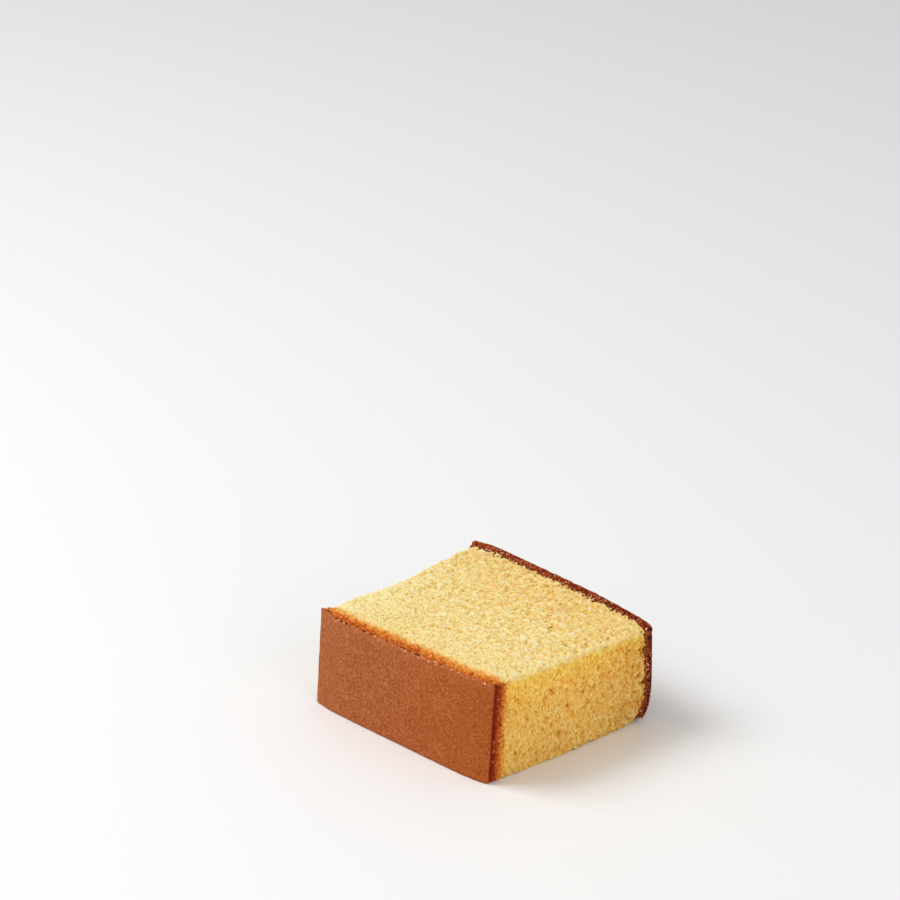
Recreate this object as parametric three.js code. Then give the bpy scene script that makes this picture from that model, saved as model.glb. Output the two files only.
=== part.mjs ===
// One slice of castella, the Japanese sponge cake, lying on one of its two cut faces.
// Millimetres, +Z up. X runs along the two crusts, -Y is the browned top crust, +Y is the
// bottom crust, and Z is the thickness of the slice. The origin is under its middle.

import * as THREE from 'three';
import * as BufferGeometryUtils from 'three/addons/utils/BufferGeometryUtils.js';

// The slice
const crustToCrust = 61.2; // height of the cake, from the top crust to the bottom crust
const sliceThickness = 27.5; // between the two cut faces, at the middle
const thickerAtRight = 0.55; // the knife went slightly askew: added at the +X end, taken at -X
const thickerAtTopCrust = 0.35; // added at the top crust, taken at the bottom crust
const lean = 0.9; // how far the upper cut face is shifted along X over the lower one
const cornerDroop = 0.6; // the upper face sinks by this in its corner at the bottom crust and +X
const droopStart = 0.3; // shares of the way from the middle to the +X end
const droopEnd = 0.75;

// The two trimmed ends of the cake, as distances from the middle plane of the slice. The
// crumb shrinks as it cools, so that an end is hollow between its crusts.
const leftEnd = { atTopCrust: 31.1, atBottomCrust: 34.4, hollow: 2.75 };
const rightEnd = { atTopCrust: 31.6, atBottomCrust: 33.3, hollow: -0.7 };
const hollowPlace = 0.42; // share of the way from the top crust to the bottom crust
const hollowSpread = 0.33;

// The top crust
const topCrustThickness = 1.6;
const topCrustProud = 0.15; // past the crumb at each end
const topCrustDome = 1.4; // the middle stands out beyond the two ends
const domeFlatness = 8; // a higher power turns down nearer the ends
const wornDepth = 0.45; // the knife has worn its upper edge down by this
const moreWornAtLeft = 0.1; // added at the -X end, taken at +X

// The bottom crust, a tough sheet that stands out from the crumb that shrank beside it
const bottomCrustThickness = 2;
const bottomCrustOverhang = 0.5; // past the crumb at each end
const bottomCrustLip = 1.1; // above the upper cut face
const moreLipAtLeft = 0.4; // added at the -X end, taken at +X
const lipDrop = 0.45; // both ends of the lip turn down
const bottomCrustSlant = 2; // half the difference in cake height between the two ends
const bottomCrustTurn = 1.5; // the sheet bends towards the crumb at both ends
const turnFlatness = 8;
const bottomCrustBelly = 1.7; // bulge across the thickness of the slice
const bellyHeight = 0.27; // where the bulge is greatest, as a share of the thickness
const curlDepth = 1.5; // the lower right corner curls in under the slice
const curlRise = 0.7;
const curlReach = 6; // the crumb beside the curl is lifted with it
const curlHeight = 7;
const curlLength = 20;

// Edges and surface
const crumbRadius = 1.8; // of the upper edges
const roundestRadius = 3.4; // of the upper edge at +X, away from the top crust
const roundingLength = 10; // over which that edge gets rounder
const lowerRadius = 0.7; // the weight of the slice presses its lower edges sharper
const pressedHeight = 8;
const crustRadius = 0.35;
const crumbUnevenness = 0.14;
const crustUnevenness = 0.05;
const unevenLength = 7.5;
const settledHeight = 2; // below this the slice lies flat and smooth on what carries it

// Mesh lines: the step between them, and their places beside an edge
const gridStep = 2.2;
const edgeLines = [0, 0.35, 1, crumbRadius, roundestRadius];
const topCrustLines = [0, crustRadius, topCrustThickness, topCrustThickness + 0.2, 3];
const bottomCrustLines = [0, crustRadius, bottomCrustThickness, bottomCrustThickness + 0.2, 3.8];

/** Grid places from 0 to length: the given ones at both edges, and even steps between them. */
function gridLines(length, startLines, endLines) {
  const start = startLines.at(-1);
  const end = length - endLines.at(-1);
  const steps = Math.round((end - start) / gridStep);
  const between = Array.from({ length: steps - 1 }, (_, i) => start + ((end - start) * (i + 1)) / steps);
  return [...startLines, ...between, ...endLines.map((line) => length - line).reverse()];
}

/** Radius of the rounded edges at a point of the box. */
function edgeRadius(boxPoint, size, inCrust) {
  if (inCrust) {
    return crustRadius;
  }
  const towardsEnd = THREE.MathUtils.smoothstep(boxPoint.x, size.x - roundingLength, size.x);
  const fromTopCrust = THREE.MathUtils.smoothstep(boxPoint.y, topCrustThickness, roundingLength);
  const upper = THREE.MathUtils.lerp(crumbRadius, roundestRadius, towardsEnd * fromTopCrust);
  const soft = THREE.MathUtils.smoothstep(boxPoint.z, 0, pressedHeight);
  return THREE.MathUtils.lerp(lowerRadius, upper, soft);
}

/** Pulls a point near an edge of the box in to a rounded edge, and gives its outward direction. */
function roundEdges(boxPoint, size, inCrust) {
  const radius = edgeRadius(boxPoint, size, inCrust);
  const low = new THREE.Vector3(radius, inCrust ? radius : 0, radius);
  const high = size.clone().sub(low);
  const inner = boxPoint.clone().clamp(low, high);
  const outward = boxPoint.clone().sub(inner).normalize();
  return { point: inner.addScaledVector(outward, radius), outward };
}

/** Distance of one end of the crumb from the middle plane of the slice. */
function endDistance(end, depthShare) {
  const straight = THREE.MathUtils.lerp(end.atTopCrust, end.atBottomCrust, depthShare);
  const fromHollow = (depthShare - hollowPlace) / hollowSpread;
  return straight - end.hollow * Math.exp(-fromHollow * fromHollow);
}

/** A gentle unevenness between -1 and 1, from waves that never quite line up. */
function unevenness({ x, y, z }) {
  const k = (2 * Math.PI) / unevenLength;
  const broad = Math.sin(0.83 * k * x + 1.7 * Math.sin(0.41 * k * y)) * Math.cos(0.67 * k * y + 0.9 * k * z);
  const fine = Math.sin(k * (1.9 * x - 1.3 * y) + 0.6) * Math.sin(k * (1.6 * z + 1.1 * y) + 2.1);
  return (2 * broad + fine) / 3;
}

/** How far the lower right corner of the bottom crust is curled: 1 at its tip, 0 away from it. */
function curlShare(heightShare, fromRightEnd) {
  const curlUp = Math.max(0, 1 - (heightShare * sliceThickness) / curlHeight) ** 2;
  const curlAlong = 1 - THREE.MathUtils.smoothstep(fromRightEnd, 0, curlLength);
  return curlUp * curlAlong;
}

/** Place of the outer face of the bottom crust along Y, before the slice is centred. */
function bottomCrustFace(across, heightShare, curl) {
  const turn = bottomCrustTurn * Math.abs(across) ** turnFlatness;
  const bellyPower = Math.log(0.5) / Math.log(bellyHeight);
  const belly = bottomCrustBelly * Math.sin(Math.PI * heightShare ** bellyPower);
  return crustToCrust - bottomCrustSlant * across - turn + belly - curlDepth * curl;
}

/** How far the upper edge of one of the crusts stands above the crumb, less than 0 where it is worn. */
function crustLift(across, fromTopFace, inBottomCrust) {
  if (inBottomCrust) {
    return bottomCrustLip - moreLipAtLeft * across - lipDrop * Math.abs(across) ** turnFlatness;
  }
  const worn = 1 - THREE.MathUtils.smoothstep(fromTopFace, 0, topCrustThickness);
  return (moreWornAtLeft * across - wornDepth) * worn;
}

/** Turns a point of the plain box, measured from its lowest corner, into one of the slice. */
function shapePoint(boxPoint, size) {
  const inTopCrust = boxPoint.y <= topCrustThickness;
  const inBottomCrust = boxPoint.y >= size.y - bottomCrustThickness;
  const inCrust = inTopCrust || inBottomCrust;
  const { point, outward } = roundEdges(boxPoint, size, inCrust);

  const across = (2 * point.x) / size.x - 1;
  const depthShare = point.y / size.y;
  const heightShare = point.z / size.z;
  const proud = inTopCrust ? topCrustProud : 0;
  const end = across < 0 ? leftEnd : rightEnd;
  const reach = endDistance(end, depthShare) + (inBottomCrust ? bottomCrustOverhang : proud);
  const x = across * reach + lean * (heightShare - 0.5);

  const topFace = topCrustDome * Math.abs(across) ** domeFlatness;
  const curl = curlShare(heightShare, (1 - across) * reach);
  const bottomFace = bottomCrustFace(across, heightShare, curl);
  const y = THREE.MathUtils.lerp(topFace, bottomFace, depthShare);

  const askew = thickerAtRight * across + thickerAtTopCrust * (1 - 2 * depthShare);
  const droop = cornerDroop * depthShare * THREE.MathUtils.smoothstep(across, droopStart, droopEnd);
  const lift = inCrust ? crustLift(across, point.y, inBottomCrust) : 0;
  const lifted = THREE.MathUtils.smoothstep(point.y, size.y - curlReach, size.y - bottomCrustThickness);
  const rise = curlRise * curl * lifted + lift * THREE.MathUtils.smoothstep(heightShare, 0.8, 1);
  const z = heightShare * (sliceThickness + askew - droop) + rise;

  const shaped = new THREE.Vector3(x, y, z);
  const free = THREE.MathUtils.smoothstep(z, 0, settledHeight);
  const roughness = (inCrust ? crustUnevenness : crumbUnevenness) * free;
  return shaped.addScaledVector(outward, roughness * unevenness(shaped));
}

/** A box with the slice's own grid lines, bent into its shape. */
function makeSlice() {
  const size = new THREE.Vector3(leftEnd.atTopCrust + rightEnd.atTopCrust, crustToCrust, sliceThickness);
  const lines = {
    x: gridLines(size.x, edgeLines, edgeLines),
    y: gridLines(size.y, topCrustLines, bottomCrustLines),
    z: gridLines(size.z, edgeLines, edgeLines),
  };
  const counts = new THREE.Vector3(lines.x.length - 1, lines.y.length - 1, lines.z.length - 1);
  const box = new THREE.BoxGeometry(...counts, ...counts);
  box.deleteAttribute('normal');
  box.deleteAttribute('uv');
  const geometry = BufferGeometryUtils.mergeVertices(box);
  const places = geometry.attributes.position;
  const gridPoint = new THREE.Vector3();
  for (let i = 0; i < places.count; i += 1) {
    gridPoint.fromBufferAttribute(places, i).addScaledVector(counts, 0.5).round();
    const boxPoint = new THREE.Vector3(lines.x[gridPoint.x], lines.y[gridPoint.y], lines.z[gridPoint.z]);
    places.setXYZ(i, ...shapePoint(boxPoint, size));
  }
  return geometry;
}

const geometry = makeSlice();
geometry.computeBoundingBox();
const middle = geometry.boundingBox.getCenter(new THREE.Vector3());
geometry.translate(-middle.x, -middle.y, -geometry.boundingBox.min.z);
geometry.computeVertexNormals();

const crumb = new THREE.MeshStandardMaterial({ color: 0xf2dc92, roughness: 0.95, metalness: 0 });
const slice = new THREE.Mesh(geometry, crumb);
slice.name = 'castella_slice';

const castella = new THREE.Group();
castella.add(slice);

export default castella;
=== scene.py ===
import math

import bmesh
import bpy
from mathutils import Euler, Matrix, Vector


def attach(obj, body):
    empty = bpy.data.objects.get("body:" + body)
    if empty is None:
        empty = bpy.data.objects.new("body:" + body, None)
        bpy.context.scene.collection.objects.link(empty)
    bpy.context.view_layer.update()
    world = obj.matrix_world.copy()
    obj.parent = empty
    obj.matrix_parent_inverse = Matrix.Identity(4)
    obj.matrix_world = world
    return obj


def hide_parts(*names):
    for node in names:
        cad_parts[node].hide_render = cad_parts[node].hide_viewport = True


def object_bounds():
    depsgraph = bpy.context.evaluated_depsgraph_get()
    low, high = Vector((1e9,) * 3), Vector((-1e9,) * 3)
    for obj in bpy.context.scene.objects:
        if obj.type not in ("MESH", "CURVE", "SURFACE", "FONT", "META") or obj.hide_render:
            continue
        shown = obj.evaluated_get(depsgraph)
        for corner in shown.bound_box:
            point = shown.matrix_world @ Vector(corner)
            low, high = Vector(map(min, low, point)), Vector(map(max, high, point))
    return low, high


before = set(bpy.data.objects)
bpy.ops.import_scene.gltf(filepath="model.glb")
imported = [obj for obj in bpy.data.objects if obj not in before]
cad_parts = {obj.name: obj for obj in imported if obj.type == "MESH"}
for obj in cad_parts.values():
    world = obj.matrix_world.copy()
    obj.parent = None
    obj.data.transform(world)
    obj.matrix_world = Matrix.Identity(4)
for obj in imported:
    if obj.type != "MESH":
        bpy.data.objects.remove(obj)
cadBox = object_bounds()
sliceNode = "castella_slice"
mm = 0.001
mergeDistance = 0.001 * mm


# Small helpers: selecting and modifiers

def deselectAll():
    if bpy.context.object and bpy.context.object.mode != "OBJECT":
        bpy.ops.object.mode_set(mode="OBJECT")
    bpy.ops.object.select_all(action="DESELECT")


def makeActive(piece):
    deselectAll()
    piece.select_set(True)
    bpy.context.view_layer.objects.active = piece


def copySlice(name):
    # A copy of the CAD solid with its loose triangles merged
    piece = bpy.data.objects.new(name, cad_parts[sliceNode].data.copy())
    piece.data.name = name
    piece.data.materials.clear()
    bpy.context.scene.collection.objects.link(piece)
    makeActive(piece)
    bpy.ops.object.mode_set(mode="EDIT")
    bpy.ops.mesh.select_all(action="SELECT")
    bpy.ops.mesh.remove_doubles(threshold=mergeDistance)
    bpy.ops.mesh.tris_convert_to_quads()
    bpy.ops.object.mode_set(mode="OBJECT")
    return piece


def selectFaces(piece, wanted):
    # In edit mode: selects the faces for which wanted(centre, normal) is true
    bpy.ops.mesh.select_mode(type="FACE")
    bpy.ops.mesh.select_all(action="DESELECT")
    mesh = bmesh.from_edit_mesh(piece.data)
    for face in mesh.faces:
        face.select_set(wanted(face.calc_center_median(), face.normal))
    mesh.select_flush_mode()
    bmesh.update_edit_mesh(piece.data)


def applyModifier(piece, kind, **settings):
    makeActive(piece)
    modifier = piece.modifiers.new(kind.title(), kind)
    for setting, value in settings.items():
        setattr(modifier, setting, value)
    bpy.ops.object.modifier_apply(modifier=modifier.name)


def applyNodes(piece, tree):
    applyModifier(piece, "NODES", node_group=tree)


# Small helpers: nodes and their settings

def colour(hexText):
    # sRGB hex to the linear colour that a socket takes
    parts = [int(hexText[i:i + 2], 16) / 255 for i in (1, 3, 5)]
    return [c / 12.92 if c <= 0.04045 else ((c + 0.055) / 1.055) ** 2.4 for c in parts] + [1]


def setStops(ramp, stops):
    # The stops are {position: hex colour}
    for spare in range(1, len(stops) - 1):
        ramp.elements.new(spare / (len(stops) - 1))
    for element, (position, hexText) in zip(ramp.elements, sorted(stops.items())):
        element.position = position
        element.color = colour(hexText)


def addNode(tree, kind, settings=None):
    # A kind such as "Math" is short for "ShaderNodeMath". A setting is one of the node's options,
    # the stops of its colour ramp, or an input by name or number. An input takes a value, a hex
    # colour, a socket, or a node: its first output in use.
    node = tree.nodes.new(kind if "Node" in kind else "ShaderNode" + kind)
    inputs = dict(settings or {})
    if "stops" in inputs:
        setStops(node.color_ramp, inputs.pop("stops"))
    for option in [key for key in inputs if isinstance(key, str) and hasattr(node, key)]:
        setattr(node, option, inputs.pop(option))
    for key, value in inputs.items():
        if isinstance(value, bpy.types.Node):
            value = next(output for output in value.outputs if output.enabled)
        if isinstance(value, bpy.types.NodeSocket):
            tree.links.new(value, node.inputs[key])
        elif isinstance(value, str) and value.startswith("#"):
            node.inputs[key].default_value = colour(value)
        else:
            node.inputs[key].default_value = value
    return node


def span(low, high, first=0.0, last=1.0):
    # Settings that turn low to high into first to last
    return {"From Min": low, "From Max": high, "To Min": first, "To Max": last}


def swing(height, middle=0.0):
    # Settings that turn a noise of 0 to 1 into one of this height either way about the middle
    return {**timesPlus, 1: 2 * height, 2: middle - height}


plus = {"operation": "ADD"}
minus = {"operation": "SUBTRACT"}
times = {"operation": "MULTIPLY"}
timesPlus = {"operation": "MULTIPLY_ADD"}
smooth = {"interpolation_type": "SMOOTHSTEP"}
mixed = {"data_type": "RGBA"}
multiplied = {"data_type": "RGBA", "blend_type": "MULTIPLY", 0: 1.0}


def newGeometryTree(name):
    tree = bpy.data.node_groups.new(name, "GeometryNodeTree")
    tree.interface.new_socket("Geometry", in_out="INPUT", socket_type="NodeSocketGeometry")
    tree.interface.new_socket("Geometry", in_out="OUTPUT", socket_type="NodeSocketGeometry")
    return tree, tree.nodes.new("NodeGroupInput"), tree.nodes.new("NodeGroupOutput")


# Fields that shape the pieces: places and distances in them are in millimetres

def placeInMm(tree):
    position = addNode(tree, "GeometryNodeInputPosition")
    return addNode(tree, "VectorMath", {"operation": "SCALE", 0: position, "Scale": 1 / mm})


def distanceFrom(tree, sheet):
    info = addNode(tree, "GeometryNodeObjectInfo", {"Object": sheet})
    near = addNode(tree, "GeometryNodeProximity", {"target_element": "FACES", 0: info.outputs["Geometry"]})
    return addNode(tree, "Math", {**times, 0: near.outputs["Distance"], 1: 1 / mm})


def facingShare(tree, axis, low, high):
    # 0 where a face looks less than low along an axis, either way, and 1 from high on
    normal = addNode(tree, "GeometryNodeInputNormal")
    parts = addNode(tree, "SeparateXYZ", {0: normal})
    size = addNode(tree, "Math", {"operation": "ABSOLUTE", 0: parts.outputs[axis]})
    return addNode(tree, "MapRange", {**smooth, "Value": size, **span(low, high)})


def pressFlat(tree, geometry):
    # What would hang lower than the face that the slice lies on is pressed flat
    position = addNode(tree, "GeometryNodeInputPosition")
    parts = addNode(tree, "SeparateXYZ", {0: position})
    raised = addNode(tree, "Math", {"operation": "MAXIMUM", 0: parts.outputs["Z"], 1: 0.0})
    pressed = addNode(tree, "CombineXYZ", {0: parts.outputs["X"], 1: parts.outputs["Y"], 2: raised})
    return addNode(tree, "GeometryNodeSetPosition", {"Geometry": geometry, "Position": pressed})


def storeAndMove(tree, start, end, stored, height):
    # Keeps the fields as attributes, then moves each point out by height
    geometry = start
    for name, field in stored.items():
        geometry = addNode(tree, "GeometryNodeStoreNamedAttribute", {
            "data_type": "FLOAT", "domain": "POINT", "Name": name, "Geometry": geometry, "Value": field})
    normal = addNode(tree, "GeometryNodeInputNormal")
    metres = addNode(tree, "Math", {**times, 0: height, 1: mm})
    offset = addNode(tree, "VectorMath", {"operation": "SCALE", 0: normal, "Scale": metres})
    moved = addNode(tree, "GeometryNodeSetPosition", {"Geometry": geometry, "Offset": offset})
    tree.links.new(pressFlat(tree, moved).outputs[0], end.inputs[0])


# The ragged line along the top crust where the knife tore the browned skin off

tornLine = {
    "height": 28.2,  # mm above the lower cut face, where it runs highest at the middle
    "climb": 0.026,  # mm for each mm along X, as the slice gets thicker
    "ragged": 1.8,  # mm from its highest places down to its lowest
    "raggedSize": 5 / 3,  # mm
    "whole": (-27.5, -24.5),  # mm along X: the skin is whole up to the first
    "wholeRise": 1.6,  # mm, higher there
}


def aboveTornLine(tree, place):
    # How far a place lies above the line
    parts = addNode(tree, "SeparateXYZ", {0: place})
    whole = addNode(tree, "MapRange", {
        "Value": parts, **span(*tornLine["whole"], -tornLine["wholeRise"], 0.0)})
    upright = addNode(tree, "Math", {**plus, 0: parts.outputs["Z"], 1: whole})
    level = addNode(tree, "Math", {**timesPlus, 0: parts, 1: -tornLine["climb"], 2: upright})
    noise = addNode(tree, "TexNoise", {
        "Vector": place, "Scale": 1 / tornLine["raggedSize"], "Detail": 3.0, "Roughness": 0.65})
    ragged = addNode(tree, "Math", {**timesPlus, 0: noise, 1: tornLine["ragged"], 2: -tornLine["height"]})
    return addNode(tree, "Math", {**plus, 0: level, 1: ragged})


# The two crusts start as the faces of the slice that look outwards on either side

crustValues = {
    "facing": 0.5,  # cosine: the crust's faces look outwards by at least this
    "outside": 20 * mm,  # and they lie further out than this
    "topThickness": 1.9 * mm,
    "bottomThickness": 2.3 * mm,
    "voxel": 0.27 * mm,
    "rounding": 2,  # times smoothed
    "swell": 0.08,  # mm, given back to the skin that remeshing and rounding took off
    "edgeSwell": 0.30,  # mm, the same for the cut edges
}


def crustSheet(name, outward):
    piece = copySlice(name)
    bpy.ops.object.mode_set(mode="EDIT")
    selectFaces(piece, lambda centre, normal: normal.dot(outward) < crustValues["facing"]
                or centre.dot(outward) < crustValues["outside"])
    bpy.ops.mesh.delete(type="FACE")
    bpy.ops.object.mode_set(mode="OBJECT")
    applyModifier(piece, "SUBSURF", levels=2, render_levels=2, boundary_smooth="PRESERVE_CORNERS")
    return piece


def thickenCrust(name, sheet, thickness):
    piece = bpy.data.objects.new(name, sheet.data.copy())
    bpy.context.scene.collection.objects.link(piece)
    applyModifier(piece, "SOLIDIFY", thickness=thickness, offset=-1, use_even_offset=True)
    applyModifier(piece, "REMESH", mode="VOXEL", voxel_size=crustValues["voxel"], use_smooth_shade=True)
    applyModifier(piece, "SMOOTH", factor=0.5, iterations=crustValues["rounding"])
    return piece


skinRelief = {
    "blister": 0.10,  # mm, height of the low unevenness left by baking
    "blisterSize": 2.2,  # mm
    "wrinkle": 0.07,  # mm
    "wrinkleSize": 0.7,  # mm
    "torn": 0.34,  # mm, roughness of the cut edges
    "tornSize": 0.8,  # mm
    "pit": 0.45,  # mm, gaps in the cut edges
    "pitSize": 1.15,  # mm between them
    "pitSlope": (0.1, 0.36),  # of that, from a gap's floor to its rim
    "skinDepth": (0.14, 0.56),  # mm, over which skin turns into cut edge
    "endFacing": (0.1, 0.6),  # what looks along X by this share is end
    "topFacing": (0.3, 0.8),  # and what looks up is upper edge
    "cornerRise": 0.5,  # mm, higher upper edge at the -X end
    "riseHeight": (15, 22),  # mm above the lower cut face
    "riseAlong": (-23, -29),  # mm along X
}


def crustRelief(name, sheet, values):
    tree, start, end = newGeometryTree(name)
    place = placeInMm(tree)
    parts = addNode(tree, "SeparateXYZ", {0: place})
    depth = distanceFrom(tree, sheet)
    cutEdge = addNode(tree, "MapRange", {**smooth, "Value": depth, **span(*values["skinDepth"])})
    onTop = facingShare(tree, "Z", *values["topFacing"])
    onEnd = facingShare(tree, "X", *values["endFacing"])

    # Skin: low blisters and finer wrinkles
    blister = addNode(tree, "TexNoise", {
        "Vector": place, "Scale": 1 / values["blisterSize"], "Detail": 1.0})
    wrinkle = addNode(tree, "TexNoise", {
        "Vector": place, "Scale": 1 / values["wrinkleSize"], "Detail": 2.0, "Roughness": 0.6,
        "Distortion": 0.8})
    low = addNode(tree, "Math", {
        0: blister, **swing(values["blister"], crustValues["swell"] - values["wrinkle"])})
    skinHeight = addNode(tree, "Math", {**timesPlus, 0: wrinkle, 1: 2 * values["wrinkle"], 2: low})

    # Cut edges: torn, with gaps
    torn = addNode(tree, "TexNoise", {
        "Vector": place, "Scale": 1 / values["tornSize"], "Detail": 3.0, "Roughness": 0.7})
    tornHeight = addNode(tree, "Math", {0: torn, **swing(values["torn"], crustValues["edgeSwell"])})
    wandering = addNode(tree, "VectorMath", {**plus, 0: place, 1: wrinkle.outputs["Color"]})
    cells = addNode(tree, "TexVoronoi", {"Vector": wandering, "Scale": 1 / values["pitSize"]})
    pit = addNode(tree, "MapRange", {
        **smooth, "Value": cells.outputs["Distance"], **span(*values["pitSlope"], values["pit"], 0.0)})
    edgeHeight = addNode(tree, "Math", {**minus, 0: tornHeight, 1: pit})
    height = addNode(tree, "Mix", {"data_type": "FLOAT", 0: cutEdge, 2: skinHeight, 3: edgeHeight})

    # The upper edge rises at one corner
    highUp = addNode(tree, "MapRange", {
        "Value": parts.outputs["Z"], **span(*values["riseHeight"], 0.0, values["cornerRise"])})
    rise = addNode(tree, "MapRange", {"Value": parts, **span(*values["riseAlong"], 0.0, highUp)})
    raised = addNode(tree, "Math", {**timesPlus, 0: onTop, 1: rise, 2: height})

    stored = {"depth": depth, "cutEdge": cutEdge, "onEnd": onEnd, "onTop": onTop, "pit": pit}
    storeAndMove(tree, start, end, stored, raised)
    return tree


topSheet = crustSheet("topSheet", Vector((0, -1, 0)))
bottomSheet = crustSheet("bottomSheet", Vector((0, 1, 0)))
topCrust = thickenCrust("topCrust", topSheet, crustValues["topThickness"])
bottomCrust = thickenCrust("bottomCrust", bottomSheet, crustValues["bottomThickness"])
applyNodes(topCrust, crustRelief("topCrustRelief", topSheet, skinRelief))
applyNodes(bottomCrust, crustRelief("bottomCrustRelief", bottomSheet, {**skinRelief, "cornerRise": 0}))
print("crusts made")


# The crumb between them

crumbValues = {
    "voxel": 0.305 * mm,
    "thinnedMargin": 1.2 * mm,  # hidden faces further in than this have fewer triangles
    "thinnedFacing": 0.95,  # cosine: those that look straight down or at a crust
    "thinnedShare": 0.06,
    "swell": 0.18,  # mm, given back to the edges that remeshing took off
    "endFacing": (0.6, 1.0),  # what looks along X by this share is end
    "roundFacing": (0.1, 0.6),  # and from this share on it is a rounded edge
    "upperEdge": (14, 20),  # mm above the lower cut face
}

poreValues = {
    "small": {"size": 0.9, "depth": 0.75, "slope": (0.12, 0.62)},  # mm between them, mm deep
    "large": {"size": 2.6, "depth": 0.8, "slope": (0.05, 0.27)},
    "wander": 1.3,  # mm, how far they stray from even spacing
    "wanderSize": 10 / 9,  # mm
    "upright": (1, 1, 0.5),  # pores of the ends are drawn out upwards
}

grainValues = {
    "grain": 0.42,  # mm, height of the fine grain
    "grainSize": 0.7,  # mm
    "lump": 0.6,  # mm, height of the coarser clods
    "lumpSize": 1.8,  # mm
    "lumpReach": (8, 28),  # mm from the top crust, over which they grow
    "rougherTop": 0.9,  # more relief by this share beside the top crust, torn by the knife
    "topReach": (1.6, 4.0),  # mm from its outer face
    "rougherEnd": 0.9,  # more relief by this share on the ends beside the bottom crust
    "endReach": (12, 4),  # mm from its outer face
    "pressed": (0.1, 1.4),  # mm above the lower cut face: the slice's weight has pressed its relief
    "pressedShare": 0.6,  # to this share
}

crumbEdges = {
    "topDepth": 1.6,  # mm from the top crust's outer face: nearer than this it is sunk
    "bottomDepth": 2.0,  # mm, the same for the bottom crust
    "sink": 0.8,  # mm, how far
    "sinkReach": (-0.3, 0.0),  # mm past those depths
    "teeth": 1.5,  # mm, length of the gaps where it has torn from the bottom crust
    "teethSize": 0.75,  # mm
    "teethNoise": (0.46, 0.66),
    "nick": 1.1,  # mm, small gaps along the line where the slice lies on what carries it
    "nickSize": 1.6,  # mm
    "nickNoise": (0.54, 0.62),
    "nickHeight": (0.3, 1.4),  # mm above the lower cut face
    "cornerWear": 0.9,  # mm, lower near where the top crust meets the -X end
    "wearAlong": (-23, -29),  # mm along X
    "wearReach": (8, 4),  # mm from the top crust's outer face
    "spared": (2.0, 4.5),  # mm from it: close beside the crust the crumb is spared
    "sparedShare": 0.2,
}


def crumbBody():
    # The whole slice; its crust sides are sunk under the crusts by the relief
    piece = copySlice("spongeCrumb")
    applyModifier(piece, "SUBSURF", levels=1, render_levels=1)
    applyModifier(piece, "REMESH", mode="VOXEL", voxel_size=crumbValues["voxel"], use_smooth_shade=True)
    low, high = cadBox
    margin = crumbValues["thinnedMargin"]
    straight = crumbValues["thinnedFacing"]

    def hidden(centre, normal):
        inX = low.x + 3 * margin < centre.x < high.x - 3 * margin
        inY = low.y + 2 * margin < centre.y < high.y - 2 * margin
        inZ = low.z + margin < centre.z < high.z - 2 * margin
        return (normal.z < -straight and inX and inY) or (abs(normal.y) > straight and inX and inZ)

    bpy.ops.object.mode_set(mode="EDIT")
    selectFaces(piece, hidden)
    bpy.ops.mesh.decimate(ratio=crumbValues["thinnedShare"])
    bpy.ops.object.mode_set(mode="OBJECT")
    return piece


def poreDepth(tree, place, stretch):
    # Depth of the pores at a place: many small ones, and a few large
    scaled = addNode(tree, "VectorMath", {**times, 0: place, 1: stretch})
    warp = addNode(tree, "TexNoise", {
        "Vector": scaled, "Scale": 1 / poreValues["wanderSize"], "Detail": 2.0, "Roughness": 0.6})
    centred = addNode(tree, "VectorMath", {**minus, 0: warp.outputs["Color"], 1: (0.5, 0.5, 0.5)})
    shift = addNode(tree, "VectorMath", {"operation": "SCALE", 0: centred, "Scale": poreValues["wander"]})
    warped = addNode(tree, "VectorMath", {**plus, 0: scaled, 1: shift})
    depths = []
    for kind in (poreValues["small"], poreValues["large"]):
        cells = addNode(tree, "TexVoronoi", {"Vector": warped, "Scale": 1 / kind["size"]})
        pore = addNode(tree, "MapRange", {
            **smooth, "Value": cells.outputs["Distance"], **span(*kind["slope"], kind["depth"], 0.0)})
        share = addNode(tree, "SeparateXYZ", {0: cells.outputs["Color"]})
        depths.append(addNode(tree, "Math", {**times, 0: pore, 1: share}))
    return addNode(tree, "Math", {**plus, 0: depths[1], 1: depths[0]})


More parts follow.
